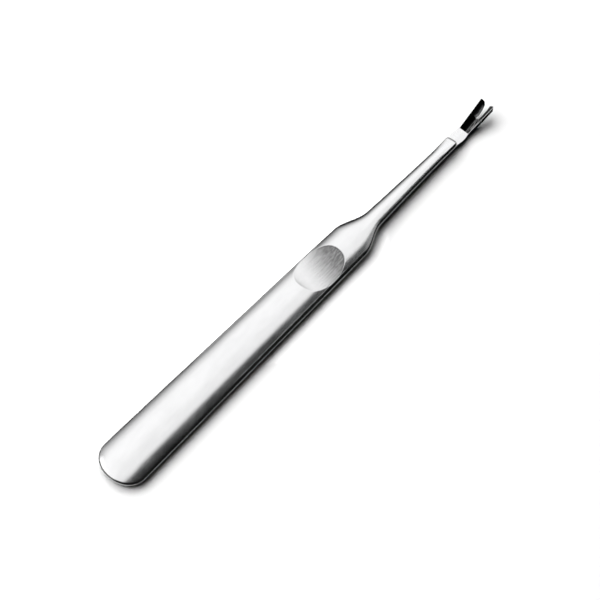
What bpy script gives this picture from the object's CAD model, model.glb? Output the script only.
"""Looks of the cuticle trimmer: fine steel surfaces, brushed finishes and a studio."""

import math

import bmesh
import bpy
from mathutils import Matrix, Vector


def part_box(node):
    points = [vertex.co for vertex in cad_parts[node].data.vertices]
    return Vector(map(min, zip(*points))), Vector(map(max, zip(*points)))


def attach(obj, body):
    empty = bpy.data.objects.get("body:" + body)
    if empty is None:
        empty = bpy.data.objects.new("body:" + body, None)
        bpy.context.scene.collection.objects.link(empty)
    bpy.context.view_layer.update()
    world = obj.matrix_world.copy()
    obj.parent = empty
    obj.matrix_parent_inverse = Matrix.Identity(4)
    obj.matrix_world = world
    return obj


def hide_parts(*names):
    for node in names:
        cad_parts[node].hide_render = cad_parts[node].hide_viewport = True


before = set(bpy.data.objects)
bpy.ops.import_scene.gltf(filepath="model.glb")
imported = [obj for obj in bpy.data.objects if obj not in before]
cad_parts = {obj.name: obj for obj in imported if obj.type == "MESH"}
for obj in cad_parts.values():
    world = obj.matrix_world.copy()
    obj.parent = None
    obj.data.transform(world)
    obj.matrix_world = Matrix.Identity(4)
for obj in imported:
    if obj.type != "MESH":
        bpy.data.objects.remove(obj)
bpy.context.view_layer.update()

MM = 0.001

# Driving sizes of the tool, all in metres, read from the frame where it gives them.
BUTT_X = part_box("top_shell")[0].x
MOUTH_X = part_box("top_shell")[1].x
TIP_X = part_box("fork_blade")[1].x
TANG_END_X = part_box("fork_blade")[0].x
BUTT_ROUND = 4.7 * MM
SHOULDER_X = BUTT_X + 73.5 * MM
NECK_X = BUTT_X + 81.7 * MM
FORK_X = BUTT_X + 111.65 * MM
NOTCH_X = BUTT_X + 115.95 * MM

# Half widths of the handle's outline and the powers that shape it.
BUTT_HALF_WIDTH = 5.66 * MM
SHOULDER_HALF_WIDTH = 4.48 * MM
NECK_HALF_WIDTH = 2.02 * MM
MOUTH_HALF_WIDTH = 1.35 * MM
BUTT_POWER = 2.1
NECK_TAPER_POWER = 1.7

# The handle's section; on the neck the seam and the rim sit a little higher.
SHEET = 0.5 * MM
SEAM_Z = 1.0 * MM
NECK_SEAM_LIFT = 0.4 * MM
RIM_Z = 2.15 * MM
NECK_RIM_LIFT = 0.2 * MM
BUTT_RIM_DIP = 0.3 * MM
BUTT_DIP_LENGTH = 9.0 * MM
RIM_ROUND = 0.2 * MM
CROWN_BASE = 0.07 * MM
CROWN_PER_HALF_WIDTH = 0.3
NECK_CROWN_PER_HALF_WIDTH = 0.34
CROWN_POWER = 2.5
NECK_CROWN_POWER = 2.2
NECK_ROLL = 0.16
SHOULDER_ROLL = 0.045
RIDGE_START_X = BUTT_X + 29.0 * MM
RIDGE_END_X = BUTT_X + 71.0 * MM
RIDGE_FADE = 5.0 * MM
RIDGE_INSET = 0.31 * MM
RIDGE_HALF_WIDTH = 0.12 * MM
RIDGE_HEIGHT = 0.026 * MM
CROWN_BUTT_LENGTH = 5.5 * MM
PAN_CORNER = 0.75 * MM
MOUTH_BREAK = 0.3 * MM
MOUTH_RIM_LIFT = 0.36 * MM
MOUTH_FLAT_LENGTH = 6.0 * MM

# The weld bead stands a little proud of the walls above and below it.
BEAD_TOP = 0.07 * MM
BEAD_BOTTOM = 0.15 * MM
BEAD_PROUD = 0.09 * MM
BEAD_FALL = 0.027 * MM
EDGE_BREAK = 0.04 * MM
WALL_GAP = 0.01 * MM

# The pressed thumb scoop.
SCOOP_X = BUTT_X + 63.7 * MM
SCOOP_LENGTH = 12.2 * MM
SCOOP_DEPTH = 1.2 * MM
SCOOP_EDGE = 0.05 * MM
SCOOP_MARGIN = 0.5 * MM
SCOOP_WIDEST = 0.9

# How the scoop is ground: hardly at its butt end, heavily towards the neck and the front.
GRINDING_SLANT = 0.35
GRINDING_START = -0.7
GRINDING_FULL = 0.8
GRINDING_LEAST = 0.06
GRINDING_MOST = 0.84
GRINDING_LIP = 0.3
MOUTH_FADE = 0.34 * MM

# The blade's flat stock.
TANG_HALF_WIDTH = 0.6 * MM
TANG_BOTTOM_Z = 0.7 * MM
TANG_TOP_Z = 1.5 * MM
SHANK_HALF_WIDTH = 1.28 * MM
SHANK_SWELL = 0.26 * MM
SHANK_BOTTOM_Z = 0.5 * MM
SHANK_TOP_Z = 1.62 * MM
SHANK_STEP = 0.5 * MM

# The fork: it climbs towards the tip, with a V-shaped gouge along its upper face.
FORK_HALF_WIDTH = 1.25 * MM
TIP_HALF_WIDTH = 1.78 * MM
GOUGE_HALF_WIDTH = 1.19 * MM
GOUGE_TIP_HALF_WIDTH = 1.72 * MM
FORK_CLIMB = 0.27
GOUGE_WALL = 0.76
FORK_SIDE = 1.4 * MM
VALLEY_THICKNESS = 0.35 * MM
STEP_LENGTH = 0.08 * MM
NOTCH_HALF_WIDTH = 0.64 * MM
NOTCH_BOW = 0.26 * MM
NOTCH_BEVEL = 0.56 * MM
NOTCH_OTHER_BEVEL = 0.12 * MM
BOW_POWER = 0.8
BEVEL_POWER = 0.6
THINNING_LENGTH = 0.8 * MM
TIP_ROUND = 0.45 * MM
TIP_INNER_ROUND = 0.3 * MM
TIP_MIDDLE = 1.12 * MM
TIP_CLOSING = 0.98
UNDER_POWER = 1.5
UNDER_EDGE_SHARE = 0.7

# How finely the surfaces are divided.
BUTT_STEPS = 26
PLAIN_STEP = 1.6 * MM
SCOOP_STEP = 0.12 * MM
SHOULDER_STEP = 0.2 * MM
NECK_STEP = 0.7 * MM
CROWN_STEPS = 56
CROWN_CROWDING = 0.8
ROUND_STEPS = 5
CORNER_STEPS = 10
WALL_STRIPS = 14
EDGE_STRIPS = 4
NOTCH_STRIPS = 12
TROUGH_STEPS = 20
TINE_STEPS = 30

# How near a point must be to a surface or an edge to belong to it.
SURFACE_TOLERANCE = 0.02 * MM
EDGE_TOLERANCE = 0.01 * MM


def mix(start, end, share):
    """Blend two numbers."""
    return start + (end - start) * share


def share_of(value, start, end):
    """Where a value lies between two others, from 0 to 1."""
    return min(max((value - start) / (end - start), 0.0), 1.0)


def smooth(share):
    """Ease a share in and out."""
    return share * share * (3 - 2 * share)


# ---------------------------------------------------------------- the handle's shape


def handle_half_width(x):
    """Half width of the handle without its rounded butt: body, shoulder and neck."""
    body = mix(BUTT_HALF_WIDTH, SHOULDER_HALF_WIDTH, share_of(x, BUTT_X, SHOULDER_X))
    narrowing = (1 - share_of(x, NECK_X, MOUTH_X)) ** NECK_TAPER_POWER
    neck = mix(MOUTH_HALF_WIDTH, NECK_HALF_WIDTH, narrowing)
    return mix(body, neck, smooth(share_of(x, SHOULDER_X, NECK_X)))


def outline_half_width(x, inset=0.0):
    """Half width of the handle's plan at x, with its rounded butt."""
    reach = BUTT_ROUND - inset
    before = min(max(BUTT_X + BUTT_ROUND - x, 0.0) / reach, 1.0)
    return (handle_half_width(x) - inset) * (1 - before ** BUTT_POWER) ** (1 / BUTT_POWER)


def neck_share(x):
    """How far the body has become the neck, from 0 to 1."""
    return smooth(share_of(x, SHOULDER_X, NECK_X))


def mouth_share(x):
    """How far the neck's crown has flattened towards the mouth, from 0 to 1."""
    return smooth(share_of(x, MOUTH_X - MOUTH_FLAT_LENGTH, MOUTH_X))


def seam_z(x):
    """Height of the welded seam."""
    return SEAM_Z + NECK_SEAM_LIFT * neck_share(x)


def rim_z(x):
    """Height where the crown meets the side wall."""
    dip = BUTT_RIM_DIP * (1 - smooth(share_of(x, BUTT_X, BUTT_X + BUTT_DIP_LENGTH)))
    return RIM_Z - dip + NECK_RIM_LIFT * neck_share(x) + MOUTH_RIM_LIFT * mouth_share(x)


def crown_rise(x):
    """How far the crown stands above the rim along the middle of the handle."""
    fullness = mix(CROWN_PER_HALF_WIDTH, NECK_CROWN_PER_HALF_WIDTH, neck_share(x))
    rise = CROWN_BASE + fullness * handle_half_width(x)
    before_full = 1 - share_of(x, BUTT_X, BUTT_X + CROWN_BUTT_LENGTH)
    return rise * (1 - before_full ** CROWN_POWER) - MOUTH_RIM_LIFT * mouth_share(x)


def scoop_floor(x):
    """Height of the round scoop's surface at x."""
    half_length = SCOOP_LENGTH / 2
    radius = (half_length ** 2 + SCOOP_DEPTH ** 2) / (2 * SCOOP_DEPTH)
    away = min(abs(x - SCOOP_X), radius * SCOOP_WIDEST)
    lowest = RIM_Z + crown_rise(SCOOP_X) - SCOOP_DEPTH
    return lowest + radius - math.sqrt(radius ** 2 - away ** 2)


def soft_lower(first, second, width):
    """The lower of two heights, with a small round where they cross."""
    share = min(max(0.5 + 0.5 * (second - first) / width, 0.0), 1.0)
    return mix(second, first, share) - width * share * (1 - share)


def edge_ridge(x, y):
    """Height of the faint ridge that the press left along the crown's edge."""
    fade_in = smooth(share_of(x, RIDGE_START_X, RIDGE_START_X + RIDGE_FADE))
    fade_out = smooth(share_of(x, RIDGE_END_X, RIDGE_END_X - RIDGE_FADE))
    away = abs(handle_half_width(x) - abs(y) - RIDGE_INSET) / RIDGE_HALF_WIDTH
    return RIDGE_HEIGHT * fade_in * fade_out * (1 - min(away, 1.0) ** 2) ** 2


def plain_crown_z(x, y, depth=0.0):
    """Height of the crown without its scoop, a given depth below the outer face."""
    half_width = max(outline_half_width(x, depth), 1e-9)
    across = min(abs(y) / half_width, 1.0)
    power = mix(CROWN_POWER, NECK_CROWN_POWER, neck_share(x))
    ridge = 0.0 if depth else edge_ridge(x, y)
    return rim_z(x) - depth + crown_rise(x) * (1 - across ** power) + ridge


def crown_z(x, y, depth=0.0):
    """Height of the crown with its scoop, a given depth below the outer face."""
    return soft_lower(plain_crown_z(x, y, depth), scoop_floor(x) - depth, SCOOP_EDGE)


def steps_between(start, end, step):
    """Values after start, up to and including end, about a step apart."""
    count = max(1, round((end - start) / step))
    return [mix(start, end, (i + 1) / count) for i in range(count)]


def stations():
    """Places along the handle: an angle on the rounded butt, or an x beyond it."""
    places = [("angle", math.pi / 2 * i / BUTT_STEPS) for i in range(BUTT_STEPS + 1)]
    scoop_reach = SCOOP_LENGTH / 2 + SCOOP_MARGIN
    stops = [
        (SCOOP_X - scoop_reach, PLAIN_STEP),
        (SCOOP_X + scoop_reach, SCOOP_STEP),
        (SHOULDER_X, PLAIN_STEP / 2),
        (NECK_X, SHOULDER_STEP),
        (MOUTH_X - MOUTH_FLAT_LENGTH, NECK_STEP),
        (MOUTH_X - MOUTH_BREAK, SHOULDER_STEP),
        (MOUTH_X, MOUTH_BREAK),
    ]
    start = BUTT_X + BUTT_ROUND
    for end, step in stops:
        places += [("x", x) for x in steps_between(start, end, step)]
        start = end
    return places


def plan_point(place, inset):
    """The point (x, y) of the inset outline at a station, on the +Y side."""
    kind, value = place
    if kind == "x":
        return value, handle_half_width(value) - inset
    ahead = max(math.cos(value), 0.0) ** (2 / BUTT_POWER)
    aside = max(math.sin(value), 0.0) ** (2 / BUTT_POWER)
    x = BUTT_X + BUTT_ROUND - (BUTT_ROUND - inset) * ahead
    return x, (handle_half_width(x) - inset) * aside


def mouth_break(place):
    """How much the outer faces are broken at a station: only at the mouth itself."""
    return MOUTH_BREAK if place == ("x", MOUTH_X) else 0.0


def crown_arc(place, inset, depth, lower):
    """Points over the crown from its middle to its edge."""
    edge_x, edge_y = plan_point(place, inset)
    points = []
    for i in range(CROWN_STEPS + 1):
        y = edge_y * math.sin(math.pi / 2 * i / CROWN_STEPS) ** CROWN_CROWDING
        points.append((edge_x, y, crown_z(edge_x, y, depth) - lower))
    return points


def upper_chain(place):
    """Half section of the upper shell: crown, rim, wall, and back along the inside."""
    edge_x = plan_point(place, 0.0)[0]
    bottom_z = seam_z(edge_x) + BEAD_TOP + WALL_GAP
    worn = mouth_break(place)
    outer = crown_arc(place, RIM_ROUND + worn, 0.0, worn)
    rim = rim_z(edge_x)
    edge_rise = outer[-1][2] - rim + worn
    for i in range(1, ROUND_STEPS + 1):
        left = 1 - i / ROUND_STEPS
        inset = RIM_ROUND * left ** 2
        z = rim - RIM_ROUND * (1 - left) ** 2 + edge_rise * left ** 3
        outer.append((*plan_point(place, inset + worn), z - worn))
    wall = ((BEAD_PROUD, bottom_z + EDGE_BREAK), (BEAD_PROUD + EDGE_BREAK, bottom_z))
    for inset, z in wall:
        outer.append((*plan_point(place, inset + worn), z))
    inner = crown_arc(place, SHEET, SHEET, 0.0)
    edge_x, edge_y, edge_z = inner[-1]
    spare = len(outer) - len(inner)
    for i in range(spare):
        inner.append((edge_x, edge_y, mix(edge_z, bottom_z, (i + 1) / spare)))
    return outer, inner


def lower_chain(place):
    """Half section of the lower shell: floor, corner, wall, and back along the inside."""
    top_z = seam_z(plan_point(place, 0.0)[0]) - BEAD_BOTTOM - WALL_GAP
    chains = []
    for wall, depth in ((BEAD_PROUD, 0.0), (SHEET, SHEET)):
        chain = []
        corner = PAN_CORNER - depth
        edge_y = plan_point(place, wall + corner)[1]
        edge_x = plan_point(place, wall + corner)[0]
        for i in range(CORNER_STEPS):
            chain.append((edge_x, edge_y * i / CORNER_STEPS, depth))
        for i in range(CORNER_STEPS + 1):
            angle = math.pi / 2 * i / CORNER_STEPS
            inset = wall + corner * (1 - math.sin(angle))
            z = depth + corner * (1 - math.cos(angle))
            chain.append((*plan_point(place, inset), z))
        chains.append(chain)
    outer, inner = chains
    for inset, z in ((BEAD_PROUD, top_z - EDGE_BREAK), (BEAD_PROUD + EDGE_BREAK, top_z)):
        outer.append((*plan_point(place, inset), z))
    for share in (0.5, 1.0):
        inner.append((*plan_point(place, SHEET), mix(PAN_CORNER, top_z, share)))
    return outer, inner


def bead_chain(place):
    """Half section of the weld bead: sloped on top, upright outside, flat inside."""
    middle = seam_z(plan_point(place, 0.0)[0])
    section = (
        (BEAD_PROUD, BEAD_TOP),
        (BEAD_PROUD * 0.25, BEAD_TOP - BEAD_FALL),
        (BEAD_PROUD * 0.05, BEAD_TOP - BEAD_FALL * 1.5),
        (0.0, BEAD_TOP - BEAD_FALL * 2.5),
        (0.0, -BEAD_BOTTOM + BEAD_FALL * 2.5),
        (BEAD_PROUD * 0.25, -BEAD_BOTTOM + BEAD_FALL),
        (BEAD_PROUD, -BEAD_BOTTOM),
    )
    outer, inner = [], []
    for inset, rise in section:
        outer.append((*plan_point(place, inset), middle + rise))
        inner.append((*plan_point(place, SHEET), middle + rise))
    return outer, inner


def new_object(name, work, weld=1e-7):
    """Make an object from a bmesh, closed up, facing out and smooth between its edges."""
    bmesh.ops.remove_doubles(work, verts=work.verts, dist=weld)
    bmesh.ops.dissolve_degenerate(work, edges=work.edges, dist=weld)
    bmesh.ops.recalc_face_normals(work, faces=work.faces)
    mesh = bpy.data.meshes.new(name)
    work.to_mesh(mesh)
    work.free()
    mesh.shade_smooth()
    mesh.set_sharp_from_angle(angle=math.radians(35))
    obj = bpy.data.objects.new(name, mesh)
    bpy.context.collection.objects.link(obj)
    return obj


def handle_piece(name, chain_at, closed_chain):
    """Sweep a half section along the handle on both sides and close its two ends."""
    work = bmesh.new()
    sides = []
    for side in (1, -1):
        rows = []
        for place in stations():
            outer, inner = chain_at(place)
            points = outer + inner[::-1]
            rows.append([work.verts.new((x, side * y, z)) for x, y, z in points])
        sides.append(rows)
    for rows in sides:
        count = len(rows[0])
        links = count if closed_chain else count - 1
        for near, far in zip(rows, rows[1:]):
            for i in range(links):
                j = (i + 1) % count
                work.faces.new((near[i], near[j], far[j], far[i]))
        mouth = rows[-1]
        for i in range(count // 2 - 1):
            j = count - 1 - i
            work.faces.new((mouth[i], mouth[i + 1], mouth[j - 1], mouth[j]))
    return new_object(name, work)


def roll_neck(obj):
    """Roll the crown a little to one side towards the neck, as the pressing left it."""
    for vertex in obj.data.vertices:
        x, y, z = vertex.co
        raised = share_of(z, seam_z(x) + BEAD_TOP, rim_z(x))
        before_neck = SHOULDER_ROLL * smooth(share_of(x, SCOOP_X, SHOULDER_X))
        vertex.co.z -= mix(before_neck, NECK_ROLL, neck_share(x)) * y * raised


# ---------------------------------------------------------------- the blade's shape


def fork_top(x):
    """Height of the fork's upper edges."""
    return SHANK_TOP_Z + FORK_CLIMB * (x - FORK_X)


def tip_closing(x, length=TIP_ROUND):
    """How far a tine's round tip has closed, from 0 where it starts to 1 at its end."""
    closing = share_of(x, TIP_X - length, TIP_X)
    return 1 - math.sqrt(1 - TIP_CLOSING * closing ** 2)


def fork_half_width(x):
    """Half width over the fork's outer sides, drawn in where a tine's tip is rounded."""
    plain = mix(FORK_HALF_WIDTH, TIP_HALF_WIDTH, share_of(x, FORK_X, TIP_X))
    return mix(plain, TIP_MIDDLE, tip_closing(x))


def gouge_half_width(x):
    """Half width of the gouge between its upper edges."""
    plain = mix(GOUGE_HALF_WIDTH, GOUGE_TIP_HALF_WIDTH, share_of(x, FORK_X, TIP_X))
    return mix(plain, TIP_MIDDLE, tip_closing(x))


def gouge_z(x, y):
    """Height of the fork's upper side: level edges with the V-shaped gouge between."""
    plain = mix(GOUGE_HALF_WIDTH, GOUGE_TIP_HALF_WIDTH, share_of(x, FORK_X, TIP_X))
    return fork_top(x) - GOUGE_WALL * max(plain - abs(y), 0.0)


def under_z(x, y):
    """Height of the fork's under side, deeper below the gouge and thin under the tines."""
    trough = GOUGE_WALL * gouge_half_width(x) + VALLEY_THICKNESS
    middle = mix(trough, FORK_SIDE, smooth(share_of(x, NOTCH_X, NOTCH_X + THINNING_LENGTH)))
    drop = mix(middle, FORK_SIDE, min(abs(y) / fork_half_width(x), 1.0) ** UNDER_POWER)
    return fork_top(x) - drop


def notch_half_width(x, upper, side):
    """Half width of the notch on the upper or under side; one wall is broadly bevelled."""
    along = share_of(x, NOTCH_X, TIP_X)
    if upper:
        plain = NOTCH_HALF_WIDTH + NOTCH_BOW * math.sin(math.pi * along ** BOW_POWER)
    else:
        bevel = NOTCH_BEVEL if side > 0 else NOTCH_OTHER_BEVEL
        plain = NOTCH_HALF_WIDTH - bevel * math.sin(math.pi * along ** BEVEL_POWER)
    return mix(plain, TIP_MIDDLE, tip_closing(x, TIP_INNER_ROUND))


def wing_places(x, upper, side):
    """Distances from the middle across one wing, from the notch to the outer side."""
    start = notch_half_width(x, upper, side)
    outer = fork_half_width(x)
    edge = gouge_half_width(x) if upper else mix(start, outer, UNDER_EDGE_SHARE)
    places = [mix(start, edge, i / WALL_STRIPS) for i in range(WALL_STRIPS)]
    return places + [mix(edge, outer, i / EDGE_STRIPS) for i in range(EDGE_STRIPS + 1)]


def across_places(x, upper):
    """Places right across the blade: one wing, the middle, the other wing."""
    near, far = wing_places(x, upper, -1), wing_places(x, upper, 1)
    middle = [mix(-near[0], far[0], i / NOTCH_STRIPS) for i in range(1, NOTCH_STRIPS)]
    return [-y for y in reversed(near)] + middle + far


def stock_rows():
    """Rows of the tang and the shank, each as the points of its two faces."""
    tang = (TANG_HALF_WIDTH, TANG_BOTTOM_Z, TANG_TOP_Z)
    shank = (SHANK_HALF_WIDTH, SHANK_BOTTOM_Z, SHANK_TOP_Z)
    root = (FORK_HALF_WIDTH, SHANK_BOTTOM_Z, SHANK_TOP_Z)
    shoulder_x = MOUTH_X + STEP_LENGTH
    sizes = [(TANG_END_X, tang), (shoulder_x - STEP_LENGTH / 2, tang), (shoulder_x, shank)]
    for x in steps_between(shoulder_x, FORK_X, SHANK_STEP):
        share = share_of(x, shoulder_x, FORK_X)
        half_width, bottom, top = (mix(a, b, share) for a, b in zip(shank, root))
        sizes.append((x, (half_width + SHANK_SWELL * math.sin(math.pi * share), bottom, top)))
    rows = []
    for x, (half_width, bottom, top) in sizes:
        row = []
        for upper, z in ((True, top), (False, bottom)):
            scale = half_width / FORK_HALF_WIDTH
            row.append([(x, scale * y, z) for y in across_places(FORK_X, upper)])
        rows.append(row)
    return rows


def trough_rows():
    """Rows of the gouge between the shank and the notch."""
    start = FORK_X + STEP_LENGTH
    rows = []
    for x in [start] + steps_between(start, NOTCH_X, (NOTCH_X - start) / TROUGH_STEPS):
        upper = [(x, y, gouge_z(x, y)) for y in across_places(x, True)]
        under = [(x, y, under_z(x, y)) for y in across_places(x, False)]
        rows.append([upper, under])
    return rows


def tine_rows(side):
    """Rows of one tine, from the notch to its rounded tip."""
    rows = []
    for i in range(1, TINE_STEPS + 1):
        x = mix(NOTCH_X, TIP_X, math.sin(math.pi / 2 * i / TINE_STEPS))
        upper = [(x, side * y, gouge_z(x, y)) for y in wing_places(x, True, side)]
        under = [(x, side * y, under_z(x, y)) for y in wing_places(x, False, side)]
        rows.append([upper, under])
    return rows


def skin(work, near, far):
    """Join two rows: upper face, lower face and both side faces."""
    for face in (0, 1):
        for j in range(len(near[face]) - 1):
            corners = (near[face][j], near[face][j + 1], far[face][j + 1], far[face][j])
            work.faces.new(corners)
    for j in (0, -1):
        work.faces.new((near[0][j], near[1][j], far[1][j], far[0][j]))


def make_fork():
    """The blade: tang, shank and fork, with a bevelled notch between the tines."""
    work = bmesh.new()
    rows = stock_rows() + trough_rows()
    spine = [[[work.verts.new(point) for point in face] for face in row] for row in rows]
    work.faces.new(spine[0][0] + spine[0][1][::-1])
    for near, far in zip(spine, spine[1:]):
        skin(work, near, far)
    last = spine[-1]
    count = WALL_STRIPS + EDGE_STRIPS + 1
    wings = {-1: [face[:count][::-1] for face in last], 1: [face[-count:] for face in last]}
    for side, wing in wings.items():
        tine = [wing]
        for row in tine_rows(side):
            tine.append([[work.verts.new(point) for point in face] for face in row])
        for near, far in zip(tine, tine[1:]):
            skin(work, near, far)
        work.faces.new(tine[-1][0] + tine[-1][1][::-1])
    for j in range(count - 1, count - 1 + NOTCH_STRIPS):
        work.faces.new((last[0][j], last[0][j + 1], last[1][j + 1], last[1][j]))
    return new_object("fork_fine", work, 1e-8)


# ---------------------------------------------------------------- materials


class Nodes:
    """Short ways to build one material's nodes."""

    def __init__(self, name):
        self.material = bpy.data.materials.new(name)
        self.material.use_nodes = True
        self.tree = self.material.node_tree
        self.shader = self.tree.nodes["Principled BSDF"]

    def add(self, kind, **settings):
        node = self.tree.nodes.new(kind)
        for key, value in settings.items():
            setattr(node, key, value)
        return node

    def link(self, source, target):
        self.tree.links.new(source, target)

    def grain(self, stretch, detail=3.0, roughness=0.6):
        """Noise in the object's own space; stretch is cycles per metre along X, Y, Z."""
        place = self.add("ShaderNodeTexCoord")
        mapping = self.add("ShaderNodeMapping")
        mapping.inputs["Scale"].default_value = stretch
        noise = self.add("ShaderNodeTexNoise")
        noise.inputs["Scale"].default_value = 1.0
        noise.inputs["Detail"].default_value = detail
        noise.inputs["Roughness"].default_value = roughness
        self.link(place.outputs["Object"], mapping.inputs["Vector"])
        self.link(mapping.outputs["Vector"], noise.inputs["Vector"])
        return noise.outputs["Fac"]

    def spread(self, value, low, high, from_low=0.3, from_high=0.7):
        """Map a value from one range to another."""
        node = self.add("ShaderNodeMapRange")
        self.link(value, node.inputs["Value"])
        for key, number in (
            ("From Min", from_low), ("From Max", from_high), ("To Min", low), ("To Max", high),
        ):
            node.inputs[key].default_value = number
        return node.outputs["Result"]

    def maths(self, operation, first, second):
        """Combine two values, either of which may be a plain number."""
        node = self.add("ShaderNodeMath", operation=operation)
        for socket, value in zip(node.inputs, (first, second)):
            if isinstance(value, (int, float)):
                socket.default_value = value
            else:
                self.link(value, socket)
        return node.outputs["Value"]

    def tint(self, factor, dark, light):
        """Blend two colours by a value."""
        ramp = self.add("ShaderNodeValToRGB")
        ramp.color_ramp.elements[0].color = (*dark, 1.0)
        ramp.color_ramp.elements[1].color = (*light, 1.0)
        self.link(factor, ramp.inputs["Fac"])
        return ramp.outputs["Color"]

    def bump(self, height, distance, strength):
        """Raise the surface by a height in metres times a value."""
        node = self.add("ShaderNodeBump")
        node.inputs["Distance"].default_value = distance
        node.inputs["Strength"].default_value = strength
        self.link(height, node.inputs["Height"])
        self.link(node.outputs["Normal"], self.shader.inputs["Normal"])


def grey(level, blue=0.0):
    """A grey, or one with a trace of blue."""
    return (level, level, level + blue)


def steel(name, dark, light, rough_low, rough_high, brush_depth, stretch):
    """Steel brushed along X, with faint handling marks in its tone and roughness."""
    nodes = Nodes(name)
    nodes.shader.inputs["Metallic"].default_value = 1.0
    brushing = nodes.grain(stretch, 2.0, 0.5)
    marks = nodes.grain((160.0, 420.0, 420.0), 4.0, 0.6)
    streaked = nodes.spread(brushing, 0.0, 0.05)
    worn = nodes.spread(marks, rough_low, rough_high)
    nodes.link(nodes.maths("ADD", streaked, worn), nodes.shader.inputs["Roughness"])
    colour = nodes.tint(nodes.spread(marks, 0.0, 1.0), dark, light)
    nodes.link(colour, nodes.shader.inputs["Base Color"])
    nodes.bump(brushing, brush_depth, 0.6)
    return nodes


def blended(nodes, share, plain, other, kind="RGBA"):
    """Blend two node outputs by a share."""
    blend = nodes.add("ShaderNodeMix", data_type=kind)
    nodes.link(share, blend.inputs["Factor"])
    for letter, source in (("A", plain), ("B", other)):
        sockets = [socket for socket in blend.inputs if socket.name == letter and socket.enabled]
        nodes.link(source, sockets[0])
    return [socket for socket in blend.outputs if socket.enabled][0]


def scooped_steel(name):
    """The upper shell's steel: satin all over, coarsely ground in the thumb scoop."""
    nodes = Nodes(name)
    nodes.shader.inputs["Metallic"].default_value = 1.0
    scoop = nodes.add("ShaderNodeAttribute", attribute_name="ground").outputs["Fac"]
    fine = nodes.grain((2400.0, 5600.0, 5600.0), 2.0, 0.6)
    marks = nodes.grain((160.0, 420.0, 420.0), 4.0, 0.6)
    streaks = nodes.grain((220.0, 3000.0, 3000.0), 5.0, 0.7)
    satin = nodes.tint(nodes.spread(marks, 0.0, 1.0), grey(0.68, 0.005), grey(0.74, 0.005))
    ground = nodes.tint(nodes.spread(streaks, 0.0, 1.0), grey(0.01), grey(0.16))
    worn = nodes.maths("MULTIPLY", scoop, nodes.spread(streaks, 0.6, 1.4))
    colour = blended(nodes, worn, satin, ground)
    nodes.link(colour, nodes.shader.inputs["Base Color"])
    satin_rough = nodes.spread(marks, 0.2, 0.27)
    ground_rough = nodes.spread(streaks, 0.4, 0.3)
    rough = blended(nodes, scoop, satin_rough, ground_rough, "FLOAT")
    nodes.link(rough, nodes.shader.inputs["Roughness"])
    streak_height = nodes.maths("MULTIPLY", streaks, scoop)
    fine_height = nodes.maths("MULTIPLY", fine, 0.9)
    nodes.bump(nodes.maths("ADD", fine_height, streak_height), 0.01 * MM, 1.0)
    return nodes.material


def forked_steel(name):
    """The blade's steel: polished, dark in the gouge, ribbed on one wall, dull on the bevel."""
    nodes = Nodes(name)
    nodes.shader.inputs["Metallic"].default_value = 1.0
    ground = nodes.add("ShaderNodeAttribute", attribute_name="ground").outputs["Fac"]
    ribbed = nodes.add("ShaderNodeAttribute", attribute_name="ribbed").outputs["Fac"]
    bevel = nodes.add("ShaderNodeAttribute", attribute_name="bevel").outputs["Fac"]
    fine = nodes.grain((900.0, 16000.0, 16000.0), 2.0, 0.5)
    ribs = nodes.grain((200.0, 4600.0, 4600.0), 1.0, 0.5)
    polished = nodes.tint(nodes.spread(fine, 0.0, 1.0), grey(0.66, 0.005), grey(0.74, 0.005))
    dark = nodes.tint(nodes.spread(fine, 0.0, 1.0), grey(0.12), grey(0.2))
    rib_tone = nodes.tint(nodes.spread(ribs, 0.0, 1.0, 0.42, 0.58), grey(0.02), grey(0.6))
    cut = blended(nodes, ground, polished, blended(nodes, ribbed, dark, rib_tone))
    dull = nodes.tint(nodes.spread(ribs, 0.0, 1.0), grey(0.18), grey(0.4))
    nodes.link(blended(nodes, bevel, cut, dull), nodes.shader.inputs["Base Color"])
    plain_rough = nodes.spread(ribbed, 0.14, 0.3, 0.0, 1.0)
    bevel_rough = nodes.spread(ribs, 0.36, 0.44)
    rough = blended(nodes, bevel, plain_rough, bevel_rough, "FLOAT")
    nodes.link(rough, nodes.shader.inputs["Roughness"])
    rib_height = nodes.maths("MULTIPLY", ribs, ribbed)
    nodes.bump(nodes.maths("ADD", rib_height, fine), 0.006 * MM, 0.6)
    return nodes.material


def mark_gouge(obj):
    """Write where the gouge is, its ribbed wall, and the notch's bevelled walls."""
    names = ("ground", "ribbed", "bevel")
    layers = [obj.data.attributes.new(name, "FLOAT", "POINT") for name in names]
    ground, ribbed, bevel = (layer.data for layer in layers)
    for index, vertex in enumerate(obj.data.vertices):
        x, y, z = vertex.co
        on_top = z > gouge_z(x, y) - SURFACE_TOLERANCE
        inside = x > FORK_X and on_top and z < fork_top(x) - EDGE_TOLERANCE
        on_wall = x > NOTCH_X and not on_top and abs(y) < GOUGE_HALF_WIDTH
        ground[index].value = 1.0 if inside else 0.0
        ribbed[index].value = 1 - share_of(x, NOTCH_X, NOTCH_X + STEP_LENGTH) if y < 0 else 0.0
        bevel[index].value = 1.0 if on_wall else 0.0


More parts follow.
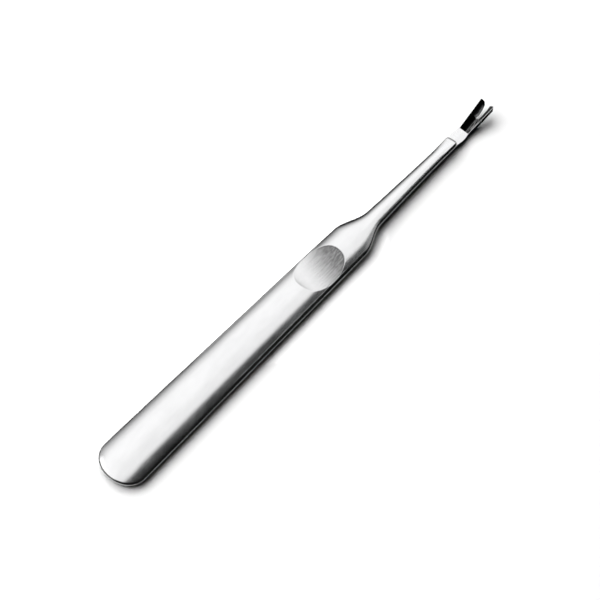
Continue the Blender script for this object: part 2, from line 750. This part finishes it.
def mark_scoop(obj):
    """Write how heavily each point is ground: the scoop, and the edge of the mouth."""
    ground = obj.data.attributes.new("ground", "FLOAT", "POINT")
    half_length = SCOOP_LENGTH / 2
    for vertex, value in zip(obj.data.vertices, ground.data):
        x, y, z = vertex.co
        below = plain_crown_z(x, y) - scoop_floor(x)
        outside = z > crown_z(x, y) - SHEET / 2
        inside = share_of(below, -SCOOP_EDGE / 2, SCOOP_EDGE) if outside else 0.0
        along = share_of(x, SCOOP_X - half_length, SCOOP_X + half_length)
        towards = x - GRINDING_SLANT * y - SCOOP_X
        share = share_of(towards, GRINDING_START * half_length, GRINDING_FULL * half_length)
        heavy = mix(GRINDING_LEAST, GRINDING_MOST, smooth(share))
        at_edge = 1 - share_of(abs(below - SCOOP_EDGE), 0.0, 2 * SCOOP_EDGE)
        lip = GRINDING_LIP * along * at_edge
        cut_edge = share_of(x, MOUTH_X - MOUTH_BREAK - MOUTH_FADE, MOUTH_X - MOUTH_BREAK)
        value.value = max(inside * min(heavy + lip, 1.0), cut_edge)


def dress(piece, material, slot, *nodes):
    """Give a piece its material, its CAD nodes and its place on the tool's body."""
    piece.data.materials.clear()
    piece.data.materials.append(material)
    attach(piece, "root")
    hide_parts(*nodes)


# ---------------------------------------------------------------- the studio


def view_axes(azimuth, elevation):
    """The camera's back, right and up directions."""
    a, e = math.radians(azimuth), math.radians(elevation)
    back = Vector((math.sin(a) * math.cos(e), -math.cos(a) * math.cos(e), math.sin(e)))
    right = Vector((math.cos(a), math.sin(a), 0.0))
    return back, right, back.cross(right)


def aim(obj, target):
    """Point an object's -Z axis at a place."""
    obj.rotation_euler = (Vector(target) - obj.location).to_track_quat("-Z", "Y").to_euler()


def make_camera():
    """A long lens close above the tool, seen from the butt's side."""
    back, right, up = view_axes(-48.45, 60.0)
    distance = 0.45
    centre = Vector((0.0, 0.0, 1.5 * MM))
    target = centre - right * 1.56 * MM - up * 3.47 * MM
    lens = bpy.data.cameras.new("camera")
    lens.lens = 128.5
    lens.sensor_width = 36.0
    lens.clip_start = 0.01
    camera = bpy.data.objects.new("camera", lens)
    bpy.context.collection.objects.link(camera)
    camera.location = target + back * distance
    aim(camera, target)
    bpy.context.scene.camera = camera


def softbox(name, centre, target, size, radiance, for_steel=True):
    """A rectangular soft light that only the steel or only the paper sees."""
    lamp = bpy.data.lights.new(name, "AREA")
    lamp.shape = "RECTANGLE"
    lamp.size, lamp.size_y = size
    lamp.energy = radiance * math.pi * size[0] * size[1]
    obj = bpy.data.objects.new(name, lamp)
    bpy.context.collection.objects.link(obj)
    obj.location = centre
    aim(obj, target)
    obj.visible_camera = False
    obj.visible_glossy = for_steel
    obj.visible_diffuse = not for_steel


def paper(name, glow=0.0):
    """Matte pale paper for the floor and the backdrop, with a trace of fibre."""
    nodes = Nodes(name)
    fibre = nodes.grain((900.0, 900.0, 900.0), 3.0)
    nodes.link(nodes.tint(fibre, grey(0.85), grey(0.8585)), nodes.shader.inputs["Base Color"])
    nodes.shader.inputs["Roughness"].default_value = 0.9
    nodes.shader.inputs["Specular IOR Level"].default_value = 0.1
    nodes.shader.inputs["Emission Color"].default_value = (1.0, 1.0, 1.0, 1.0)
    nodes.shader.inputs["Emission Strength"].default_value = glow
    return nodes.material


def stage_mesh(name, verts, faces, material):
    """A piece of the studio."""
    mesh = bpy.data.meshes.new(name)
    mesh.from_pydata(verts, [], faces)
    mesh.materials.append(material)
    obj = bpy.data.objects.new(name, mesh)
    bpy.context.collection.objects.link(obj)
    return obj


def make_paper():
    """White paper below the tool, and a pale backdrop round it that only the camera sees."""
    reach, height = 1.6, 1.4
    corners = [(-reach, -reach, 0), (reach, -reach, 0), (reach, reach, 0), (-reach, reach, 0)]
    floor = stage_mesh("floor", corners, [(0, 1, 2, 3)], paper("floor_paper"))
    floor.visible_glossy = False
    walls = corners + [(x, y, height) for x, y, z in corners]
    sides = [(i, (i + 1) % 4, (i + 1) % 4 + 4, i + 4) for i in range(4)]
    backdrop = stage_mesh("backdrop", walls, sides, paper("backdrop_paper", 0.85))
    backdrop.visible_glossy = False
    backdrop.visible_diffuse = False
    backdrop.visible_shadow = False


def make_lights():
    """Broad soft lights above and behind the tool, and darkness in front of it."""
    wide = 5.0
    softbox("overhead_front", (0.0, -0.075, 1.0), (0.0, -0.075, 0.0), (wide, 0.75), 1.2)
    softbox("overhead_back", (0.0, 0.925, 1.0), (0.0, 0.925, 0.0), (wide, 1.25), 1.35)
    softbox("wall_high", (0.0, 1.55, 0.8), (0.0, 0.0, 0.8), (wide, 0.4), 1.1)
    softbox("wall_middle", (0.0, 1.55, 0.45), (0.0, 0.0, 0.45), (wide, 0.3), 0.8)
    softbox("wall_low", (0.0, 1.55, 0.15), (0.0, 0.0, 0.15), (wide, 0.3), 0.42)
    softbox("front_glow", (0.0, -0.7, 1.0), (0.0, 0.0, 0.0), (wide, 0.5), 0.042)
    softbox("corner_glow", (1.05, -0.8, 0.87), (0.0, 0.0, 0.0), (0.9, 0.4), 0.4)
    softbox("end_glow", (-1.23, 0.93, 0.35), (0.0, 0.0, 0.0), (1.9, 0.7), 0.85)
    softbox("key", (0.0, 0.92, 1.0), (0.0, 0.92, 0.0), (1.8, 1.24), 9.2, False)
    softbox("key_near", (0.0, 0.15, 1.0), (0.0, 0.15, 0.0), (1.8, 0.3), 2.6, False)
    world = bpy.data.worlds.new("studio")
    world.use_nodes = True
    background = world.node_tree.nodes["Background"]
    background.inputs["Color"].default_value = (*grey(0.0015), 1.0)
    background.inputs["Strength"].default_value = 1.0
    bpy.context.scene.world = world
    bpy.context.scene.view_settings.view_transform = "Standard"


# ---------------------------------------------------------------- the tool

top = handle_piece("top_shell_fine", upper_chain, False)
mark_scoop(top)
roll_neck(top)
bottom = handle_piece("bottom_shell_fine", lower_chain, False)
bead = handle_piece("rim_weld_fine", bead_chain, True)
fork = make_fork()

dress(top, scooped_steel("satin_steel"), "satin_steel", "top_shell")
underside = steel(
    "underside_steel", grey(0.62, 0.005), grey(0.7, 0.005), 0.24, 0.32,
    brush_depth=0.01 * MM, stretch=(300.0, 14000.0, 14000.0),
)
dress(bottom, underside.material, "underside_steel", "bottom_shell")
weld = steel(
    "ground_weld", grey(0.55), grey(0.66), 0.2, 0.3,
    brush_depth=0.01 * MM, stretch=(2400.0, 9000.0, 9000.0),
)
dress(bead, weld.material, "ground_weld", "rim_weld")
mark_gouge(fork)
dress(fork, forked_steel("blade_steel"), "blade_steel", "fork_blade")

braze = steel(
    "silver_braze", (0.5, 0.46, 0.38), (0.64, 0.6, 0.52), 0.4, 0.55,
    brush_depth=0.03 * MM, stretch=(3000.0, 3000.0, 3000.0),
)
braze_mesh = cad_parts["tang_braze"].data
braze_mesh.materials.clear()
braze_mesh.materials.append(braze.material)

make_paper()
make_lights()
make_camera()
